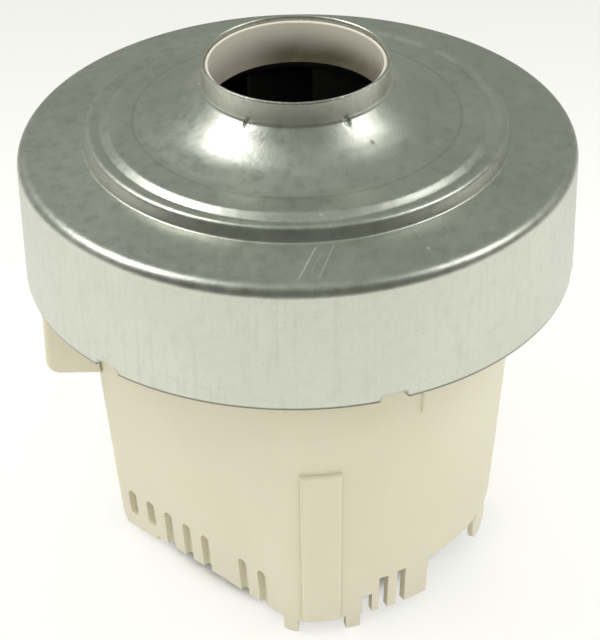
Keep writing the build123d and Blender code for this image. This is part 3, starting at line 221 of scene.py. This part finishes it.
floorPaper = {
    "reach": 12.0,
    "sink": 0.0002,                     # just below the feet
    "near": (0.94, 0.935, 0.905),
    "cloudy": (0.92, 0.92, 0.88),
    "cloud": (40.0, 3.0, 0.5),
    # painted shade: the paper turns darker far behind the motor, where less light falls on it
    "far": (0.45, 0.44, 0.42),
    "farFrom": (0.0, 0.40),
    "dark": (0.10, 0.10, 0.09),         # before the paper's edge, where only mirrors see it
    "darkTo": (-0.50, -0.28),
    "lift": (0.62, 0.62, 0.595),        # keeps the paper and its shadow pale to the camera
    "liftFrom": (0.033, 0.040),         # nearer the axis, below the motor, it stays dark
    "deepen": 0.62,                     # and how much less of the lamps the lifted paper takes
    "rough": 0.9,
}
floorMesh = bpy.data.meshes.new("floor")
reach = floorPaper["reach"]
corners = [(-reach, -reach, 0), (reach, -reach, 0), (reach, reach, 0), (-reach, reach, 0)]
floorMesh.from_pydata(corners, [], [(0, 1, 2, 3)])
floorObject = bpy.data.objects.new("floor", floorMesh)
floorObject.location.z = -floorPaper["sink"]
scene.collection.objects.link(floorObject)
ground = Finish("paper")
across, ahead = ground.apart(ground.place())[:2]
cloud = ground.noise(floorPaper["cloud"]) * 0.04
paper = ground.mix(cloud, floorPaper["near"], floorPaper["cloudy"])
# painted shade: darker paper further behind the motor
paper = ground.mix(ground.band(ahead, *floorPaper["farFrom"]), paper, floorPaper["far"])
paper = ground.mix(ground.band(ahead, *floorPaper["darkTo"], 1.0, 0.0), paper, floorPaper["dark"])
direct = ground.node("ShaderNodeLightPath", outputs=("Is Camera Ray",))
direct = direct * ground.band((across * across + ahead * ahead) ** 0.5, *floorPaper["liftFrom"])
lift = ground.mix(direct, (0, 0, 0), floorPaper["lift"])
paper = ground.mix(direct, paper, ground.mix(floorPaper["deepen"], paper, (0.0, 0.0, 0.0)))
floorMesh.materials.append(ground.surface(
    Base_Color=paper, Roughness=floorPaper["rough"], Emission_Color=lift, Emission_Strength=1.0,
))
print("camera, lamps and floor")


def zincFinish():
    # drawn sheet with a zinc coat: satin, mottled, fine drawing lines and scratches, with painted
    # shade on the side wall, at its bottom edge and along the dome's crease, and painted
    # highlights along the crease and on the collar's front rim
    values = {
        "base": (0.63, 0.645, 0.57),
        "pale": (0.70, 0.715, 0.64),
        "dark": (0.44, 0.455, 0.395),
        "bareAndGlint": (0.95, 0.96, 0.92),         # where the coat is scratched, and painted glints on the collar's front rim
        # painted shade along the bottom edge of the casing's wall
        "hemShade": (0.12, 0.12, 0.10),
        "tickShade": (0.16, 0.16, 0.14),
        "cloud": (30.0, 3.0, 0.55),
        "mottle": (330.0, 3.0, 0.6),
        "grit": (1500.0, 2.0, 0.6),
        "cloudPale": (0.35, 0.7),           # what part of each noise shows, and how much
        "mottlePale": (0.48, 0.72, 0.0, 0.55),
        "mottleDark": (0.30, 0.50, 0.30, 0.0),
        "gritDark": (0.56, 0.75, 0.0, 0.45),
        "drawn": (900.0, 3.0, 0.6),
        "drawnRun": (1.0, 1.0, 0.06),       # the drawing lines run up the wall
        "hairs": (1500.0, 2.0, 0.6),
        "hairsRun": (1.0, 0.22, 1.0),
        "hairsTurn": 0.5,
        "hairsShow": (0.56, 0.64),
        "specks": (800.0, 2.0, 0.6),
        "specksShow": (0.55, 0.66),
        "rough": 0.38,
        "relief": (0.16, 0.0003),
        # painted shade: below wallTop the side wall is mixed towards dark all over by wallShade,
        # and more along the drawing-line streaks
        "wallTop": (0.1112, 0.1143),
        "wallShade": 0.34,
        "wallStreaksAndShade": (0.50, 0.75, 0.0, 0.20),
        "bottomEdge": (0.0828, 0.0834, 0.75, 0.0),
        "rimEdge": (0.1353, 0.1361),
        "rimFront": (-0.006, -0.012),
        "domeFoot": (0.1195, 0.1205),
        "creaseHighlight": 0.0387,                   # radius of the painted highlight line along the dome's crease, and of its painted shade line
        "creaseHighlightShow": (0.0001, 0.0005, 0.30, 0.0),
        "creaseShade": 0.0394,
        "creaseShadeShow": (0.0001, 0.0007, 0.35, 0.0),
        # from, to and depth of each long scratch on the front of the flat
        "scratches": (
            ((-0.0007, -0.0646), (0.0039, -0.0520), 0.9),
            ((0.0037, -0.0648), (0.0080, -0.0508), 0.55),
            ((0.0020, -0.0625), (0.0052, -0.0535), 0.35),
        ),
        "scratchWidth": (0.00008, 0.00024, 1.0, 0.0),
        "scratchEnd": 0.002,
        "scratchShow": 0.8,
        # place of each small mark, and the radii where it begins and ends to fade
        "scuff": ((0.0065, -0.0465), (0.0015, 0.0065)),
        "nick": ((0.0286, -0.0528), (0.0002, 0.0007)),
        "tick": ((0.0173, -0.0220), (0.0003, 0.0008)),
    }
    f = Finish("zincSheet")
    place = f.place()
    x, y, z = f.apart(place)

    def spot(mark):
        (markX, markY), fade = values[mark]
        away = ((x - markX) ** 2 + (y - markY) ** 2) ** 0.5
        return f.band(away, *fade, 1.0, 0.0)

    cloud = f.noise(values["cloud"], place)
    mottle = f.noise(values["mottle"], place)
    grit = f.noise(values["grit"], place)
    drawn = f.noise(values["drawn"], f.stretch(place, values["drawnRun"]))
    shade = f.mix(f.band(cloud, *values["cloudPale"]), values["base"], values["pale"])
    shade = f.mix(f.band(mottle, *values["mottlePale"]), shade, values["pale"])
    shade = f.mix(f.band(mottle, *values["mottleDark"]), shade, values["dark"])
    shade = f.mix(f.band(grit, *values["gritDark"]), shade, values["dark"])
    # painted shade on the side wall, with the drawing-line streaks on top of it
    wall = f.band(z, *values["wallTop"], 1.0, 0.0)
    wallStreaksAndShade = f.band(drawn, *values["wallStreaksAndShade"]) + values["wallShade"]
    shade = f.mix(wallStreaksAndShade * wall, shade, values["dark"])

    hairs = f.noise(values["hairs"], f.stretch(place, values["hairsRun"], values["hairsTurn"]))
    scuff = f.band(hairs, *values["hairsShow"]) * spot("scuff")
    # painted highlight: bright specks on the collar's rounded top edge, on the front only, added
    # to the scratches
    rimFront = f.band(z, *values["rimEdge"]) * f.band(y, *values["rimFront"])
    rimGlints = f.band(f.noise(values["specks"], place), *values["specksShow"]) * rimFront
    scratchAndGlint = scuff * 0.7 + spot("nick") + rimGlints
    end = values["scratchEnd"]
    for (ax, ay), (bx, by), depth in values["scratches"]:
        run = math.hypot(bx - ax, by - ay)
        ux, uy = (bx - ax) / run, (by - ay) / run
        along = (x - ax) * ux + (y - ay) * uy
        aside = abs((x - ax) * uy - (y - ay) * ux)
        ends = f.band(along, 0.0, end) * f.band(along, run - end, run, 1.0, 0.0)
        scratchAndGlint = scratchAndGlint + f.band(aside, *values["scratchWidth"]) * ends * depth

    around = (x * x + y * y) ** 0.5
    # painted highlight and painted shade: a pale and a dark thin ring along the dome's crease,
    # above the dome's foot
    fold = f.band(z, *values["domeFoot"])
    creaseHighlight = f.band(abs(around - values["creaseHighlight"]), *values["creaseHighlightShow"]) * fold
    foldShade = f.band(abs(around - values["creaseShade"]), *values["creaseShadeShow"]) * fold
    bareAndGlint = f.band(scratchAndGlint, 0.0, 1.0, 0.0, values["scratchShow"])
    shade = f.mix(bareAndGlint, shade, values["bareAndGlint"])
    shade = f.mix(creaseHighlight, shade, values["pale"])
    shade = f.mix(foldShade, shade, values["dark"])
    # painted shade: a thin dark line along the bottom edge of the casing's wall
    shade = f.mix(f.band(z, *values["bottomEdge"]), shade, values["hemShade"])
    shade = f.mix(spot("tick") * 0.7, shade, values["tickShade"])
    rough = values["rough"] + (cloud - 0.5) * 0.10 + (mottle - 0.5) * 0.22 + scratchAndGlint * 0.16
    normal = f.bump(drawn * 0.5 + mottle * 1.1 + grit * 0.25, *values["relief"])
    return f.surface(Base_Color=shade, Metallic=1.0, Roughness=rough, Normal=normal)


def creamFinish():
    # the housing: warm cream, a little translucent, slightly paler near the feet
    values = {
        "base": (0.71, 0.675, 0.525),
        "deep": (0.68, 0.64, 0.485),
        "paler": (0.70, 0.67, 0.58),
        "palerTo": (0.004, 0.03, 0.25, 0.0),
        "flow": (22.0, 3.0, 0.55, 0.8),
        "flowShow": (0.3, 0.75),
        "grain": (1100.0, 2.0, 0.5),
        "rough": 0.42,
        "relief": (0.10, 0.0003),
        "depth": (0.006, 0.005, 0.003),     # how far red, green and blue light goes in
        "depthWeight": 0.12,
        "depthScale": 0.6,
    }
    f = Finish("creamPlastic")
    place = f.place()
    z = f.apart(place)[2]
    flow = f.noise(values["flow"], place)
    fine = f.noise(values["grain"], place)
    shade = f.mix(f.band(flow, *values["flowShow"]), values["base"], values["deep"])
    shade = f.mix(f.band(z, *values["palerTo"]), shade, values["paler"])
    return f.surface(
        Base_Color=shade,
        Roughness=values["rough"] + (flow - 0.5) * 0.12,
        Normal=f.bump(fine * 0.5 + flow * 1.6, *values["relief"]),
        Subsurface_Weight=values["depthWeight"],
        Subsurface_Radius=values["depth"],
        Subsurface_Scale=values["depthScale"],
    )


def ivoryFinish():
    # the inlet's ring: painted shade lower down inside it, strongest at the back and weakest on
    # the left
    values = {
        "base": (0.66, 0.625, 0.53),
        # painted shade inside the ring
        "insideShade": (0.115, 0.10, 0.055),
        "insideShadeTo": (0.1262, 0.1352, 1.0, 0.0),
        "leftSide": (-0.020, -0.002, 0.45, 1.0),
        "rightSide": (0.010, 0.021, 1.0, 0.8),
        "flow": (60.0, 4.0, 0.6, 0.4),
        "flowShow": (0.25, 0.7, 0.75, 1.0),
        "grain": (1500.0, 2.0, 0.5),
        "rough": 0.42,
        "relief": (0.12, 0.0003),
    }
    f = Finish("ivoryPlastic")
    place = f.place()
    x, z = f.apart(place)[::2]
    flow = f.noise(values["flow"], place)
    fine = f.noise(values["grain"], place)
    # painted shade: darker lower down inside the ring, less on the left and a little less on the
    # right
    insideShade = f.band(z, *values["insideShadeTo"]) * f.band(flow, *values["flowShow"])
    insideShade = insideShade * f.band(x, *values["leftSide"]) * f.band(x, *values["rightSide"])
    shade = f.mix(insideShade, values["base"], values["insideShade"])
    gloss = values["rough"] + insideShade * 0.25
    normal = f.bump(fine + flow, *values["relief"])
    return f.surface(Base_Color=shade, Roughness=gloss, Normal=normal)


def plasticFinish(name, base, deep, rough, grain=900.0):
    # moulded plastic: faint flow marks, a fine grain, slightly uneven gloss
    values = {
        "flow": (28.0, 3.0, 0.55, 0.6),
        "flowShow": (0.35, 0.75),
        "grain": (grain, 2.0, 0.5),
        "relief": (0.12, 0.0003),
    }
    f = Finish(name)
    place = f.place()
    flow = f.noise(values["flow"], place)
    fine = f.noise(values["grain"], place)
    shade = f.mix(f.band(flow, *values["flowShow"]), base, deep)
    gloss = rough + (flow - 0.5) * 0.10
    normal = f.bump(fine * 0.5 + flow * 1.2, *values["relief"])
    return f.surface(Base_Color=shade, Roughness=gloss, Normal=normal)


def metalFinish(name, base, rough, lines=700.0, squash=(1.0, 1.0, 0.08), tint=None):
    # turned or ground metal with fine lines round it
    values = {
        "lines": (lines, 2.0, 0.5),
        "cloud": (90.0, 3.0, 0.6),
        "cloudShow": (0.35, 0.75),
        "brighter": 1.12,
        "relief": (0.12, 0.0002),
    }
    f = Finish(name)
    place = f.place()
    turned = f.noise(values["lines"], f.stretch(place, squash))
    cloud = f.noise(values["cloud"], place)
    second = tint or tuple(min(1.0, part * values["brighter"]) for part in base)
    shade = f.mix(f.band(cloud, *values["cloudShow"]), base, second)
    gloss = rough + (cloud - 0.5) * 0.14
    normal = f.bump(turned, *values["relief"])
    return f.surface(Base_Color=shade, Metallic=1.0, Roughness=gloss, Normal=normal)


def layeredFinish():
    # stacked laminations, seen at their edges
    values = {
        "gap": (0.05, 0.05, 0.052),
        "steel": (0.20, 0.20, 0.205),
        "rust": (0.16, 0.10, 0.07),
        "cloud": (120.0, 4.0, 0.6),
        "rustShow": (0.55, 0.75, 0.0, 0.4),
        "half": 0.00025,    # half of a sheet's thickness
        "relief": (0.4, 0.0002),
        "rough": 0.5,
        "metal": 0.7,
    }
    f = Finish("lamination")
    place = f.place()
    z = f.apart(place)[2]
    sheets = f.node("ShaderNodeMath", {"operation": "PINGPONG"}, {0: z, 1: values["half"]})
    sheets = sheets * (1 / values["half"])
    cloud = f.noise(values["cloud"], place)
    shade = f.mix(sheets, values["gap"], values["steel"])
    shade = f.mix(f.band(cloud, *values["rustShow"]), shade, values["rust"])
    gloss = values["rough"] + (cloud - 0.5) * 0.2
    normal = f.bump(sheets, *values["relief"])
    return f.surface(Base_Color=shade, Metallic=values["metal"], Roughness=gloss, Normal=normal)


def windingFinish():
    # varnished copper wire laid side by side
    values = {
        "gap": (0.16, 0.045, 0.015),
        "copper": (0.52, 0.20, 0.07),
        "varnish": (0.30, 0.12, 0.04),
        "bent": (60.0, 2.0, 0.5),
        "turns": {"Scale": 520.0, "Distortion": 1.6, "Detail": 1.0, "Detail Scale": 0.6},
        "relief": (0.5, 0.0004),
        "rough": 0.28,
        "metal": 0.5,
    }
    f = Finish("enamelWire")
    place = f.place()
    bent = f.noise(values["bent"], place)
    rings = {"wave_type": "RINGS", "rings_direction": "Z", "wave_profile": "SIN"}
    turns = f.node("ShaderNodeTexWave", rings, {"Vector": place, **values["turns"]}, ("Fac",))
    shade = f.mix(turns, values["gap"], values["copper"])
    shade = f.mix(bent * 0.3, shade, values["varnish"])
    gloss = values["rough"] + (1 - turns) * 0.25
    normal = f.bump(turns, *values["relief"])
    return f.surface(Base_Color=shade, Metallic=values["metal"], Roughness=gloss, Normal=normal)


plastics = {
    # slot: name, two shades, roughness and, where it differs, the grain
    "fan_plastic": ("fanPlastic", (0.010, 0.010, 0.010), (0.018, 0.017, 0.015), 0.38),
    "black_plastic": ("blackPlastic", (0.022, 0.022, 0.022), (0.035, 0.034, 0.032), 0.45),
    "cage_plastic": ("cagePlastic", (0.26, 0.17, 0.10), (0.20, 0.13, 0.08), 0.5),
    "hub_resin": ("hubResin", (0.10, 0.055, 0.035), (0.14, 0.08, 0.05), 0.4),
    "brown_resin": ("brownResin", (0.15, 0.085, 0.05), (0.10, 0.055, 0.03), 0.42),
    "carbon": ("brushCarbon", (0.035, 0.035, 0.037), (0.06, 0.06, 0.06), 0.5, 2400.0),
    "lead_insulation": ("leadInsulation", (0.06, 0.16, 0.42), (0.05, 0.12, 0.33), 0.45),
}
ringed, lengthwise = (1.0, 1.0, 0.08), (0.1, 1.0, 1.0)    # how the metals' lines run
metals = {
    # slot: name, shade, roughness, scale of the lines, their run and a second shade
    "steel": ("turnedSteel", (0.50, 0.50, 0.50), 0.28),
    "zinc_screw": ("zincScrew", (0.60, 0.61, 0.59), 0.26, 1200.0),
    "bearing_steel": ("bearingSteel", (0.62, 0.62, 0.63), 0.12, 1500.0),
    "spring_steel": ("springSteel", (0.55, 0.55, 0.56), 0.24, 1200.0),
    "copper": ("commutatorCopper", (0.75, 0.36, 0.22), 0.3, 900.0, ringed, (0.42, 0.20, 0.13)),
    "brass": ("terminalBrass", (0.78, 0.58, 0.27), 0.27, 800.0, lengthwise),
}
finishes = {
    "zinc_sheet": zincFinish(),
    "cream_plastic": creamFinish(),
    "ivory_plastic": ivoryFinish(),
    "lamination": layeredFinish(),
    "enamel_wire": windingFinish(),
    **{slot: plasticFinish(*row) for slot, row in plastics.items()},
    **{slot: metalFinish(*row) for slot, row in metals.items()},
}
slotOf = {part["node"]: part["material_slot"] for part in frame["record"]["subparts"]}
for name, node in nodes.items():
    node.data.materials.clear()
    node.data.materials.append(finishes[slotOf[name]])
print("finishes on", len(nodes), "nodes")


def bendLine(points, bends, step, run):
    # straight lines with a round bend at each inner point, as a close row of points
    points = [Vector(p) for p in points]
    line = [points[0]]
    for before, corner, after, bend in zip(points, points[1:], points[2:], bends):
        a, b = (before - corner).normalized(), (after - corner).normalized()
        half = a.angle(b) / 2
        start = corner + a * (bend / math.tan(half))
        middle = corner + (a + b).normalized() * (bend / math.sin(half))
        last = line[-1]
        count = max(1, round((start - last).length / run))
        line += [last.lerp(start, i / count) for i in range(1, count + 1)]
        spoke = start - middle
        turn = math.pi - 2 * half
        if a.x * b.y - a.y * b.x > 0:
            turn = -turn
        count = max(4, round(abs(turn) * bend / step))
        for i in range(1, count + 1):
            c, s = math.cos(turn * i / count), math.sin(turn * i / count)
            line.append(middle + Vector((spoke.x * c - spoke.y * s, spoke.x * s + spoke.y * c)))
    last = line[-1]
    count = max(1, round((points[-1] - last).length / run))
    return line + [last.lerp(points[-1], i / count) for i in range(1, count + 1)]


def sidewise(line, distance):
    # the same row of points moved to its right
    moved = []
    for i, point in enumerate(line):
        way = (line[min(i + 1, len(line) - 1)] - line[max(i - 1, 0)]).normalized()
        moved.append(point + Vector((way.y, -way.x)) * distance)
    return moved


def lathe(name, profile, steps, push):
    # turns a closed row of (radius, height) points in mm about the motor's axis
    mesh = bpy.data.meshes.new(name)
    rows = len(profile)
    points, faces = [], []
    for k in range(steps):
        angle = 2 * math.pi * k / steps
        n = (k + 1) % steps
        for i, (radius, height) in enumerate(profile):
            place = Vector((radius * math.cos(angle), radius * math.sin(angle), height))
            points.append(push(place, math.degrees(angle)) / 1000)
            j = (i + 1) % rows
            faces.append((k * rows + i, n * rows + i, n * rows + j, k * rows + j))
    mesh.from_pydata(points, [], faces)
    mesh.validate()
    mesh.shade_smooth()
    piece = bpy.data.objects.new(name, mesh)
    scene.collection.objects.link(piece)
    return piece


casing = {
    # radius and height in mm of the outside's corners, from the bottom edge to the inlet's rim
    "outline": (
        (67.5, 82.5), (67.5, 114.8), (51.6, 116.9), (50.4, 120.8), (47.3, 119.75), (45.4, 121.15),
        (38.4, 121.4), (31.5, 123.3), (26.8, 126.3), (22.6, 130.4), (22.6, 136.5),
    ),
    "bends": (3.0, 0.8, 1.4, 0.7, 1.5, 14.0, 16.0, 20.0, 1.6),
    "rim": ((22.58, 136.38), (22.35, 136.5), (22.0, 136.45)),    # its rounded top edge
    "burr": 0.2,                # the bottom edge draws in by this much
    "sheet": 0.8,
    "steps": 480,
    "bendStep": 0.16,           # between points, in the bends and on the straights
    "straightStep": 0.7,
    "stake": (23.6, 130.5, 1.2),    # place from the axis, height, ball's radius
    "stakeEvery": 60,
    "stakeLean": (0.4, 0.05),       # downwards, and how far the metal is pressed over
    "crimpWidth": 6.5,
    "crimpSide": 0.5,
    "crimpTop": 84.4,
    "crimpLean": 1.0,
    "crimpLift": 0.3,
    "crimpAngle": 48.0,
    "crimpEvery": 60,
}


def pressCasing(place, angle):
    # six stake dimples at the collar's foot and six crimps in the bottom edge
    away, height, ball = casing["stake"]
    collar, wall = casing["outline"][-1][0], casing["outline"][0][0]
    radius = math.hypot(place.x, place.y)
    if abs(place.z - height) < 2 * ball and radius > collar - 0.1:
        near = math.radians(round(angle / casing["stakeEvery"]) * casing["stakeEvery"])
        centre = Vector((away * math.cos(near), away * math.sin(near), height))
        gap = place - centre
        if gap.length < ball:
            down, over = casing["stakeLean"]
            inward = Vector((-math.cos(near), -math.sin(near), -down)).normalized()
            place = centre + (gap + inward * over).normalized() * ball
    if place.z < casing["crimpTop"]:
        every = casing["crimpEvery"]
        off = (angle - casing["crimpAngle"] + every / 2) % every - every / 2
        aside = abs(math.radians(off)) * wall
        share = min(1.0, max(0.0, (casing["crimpWidth"] / 2 - aside) / casing["crimpSide"]))
        lean = share * (casing["crimpTop"] - place.z) * casing["crimpLean"]
        shrink = (radius - lean) / radius
        place = Vector((place.x * shrink, place.y * shrink, place.z + lean * casing["crimpLift"]))
    return place


outer = bendLine(casing["outline"], casing["bends"], casing["bendStep"], casing["straightStep"])
inner = sidewise(outer, -casing["sheet"])
outer[0] = outer[0] - Vector((casing["burr"], 0))
profile = [*outer[:-1], *casing["rim"], *reversed(inner[:-1])]
shell = lathe("casingShell", profile, casing["steps"], pressCasing)
shell.data.materials.append(finishes["zinc_sheet"])
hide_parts("fan_casing")
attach(shell, "root")
print("casing:", len(shell.data.vertices), "points")
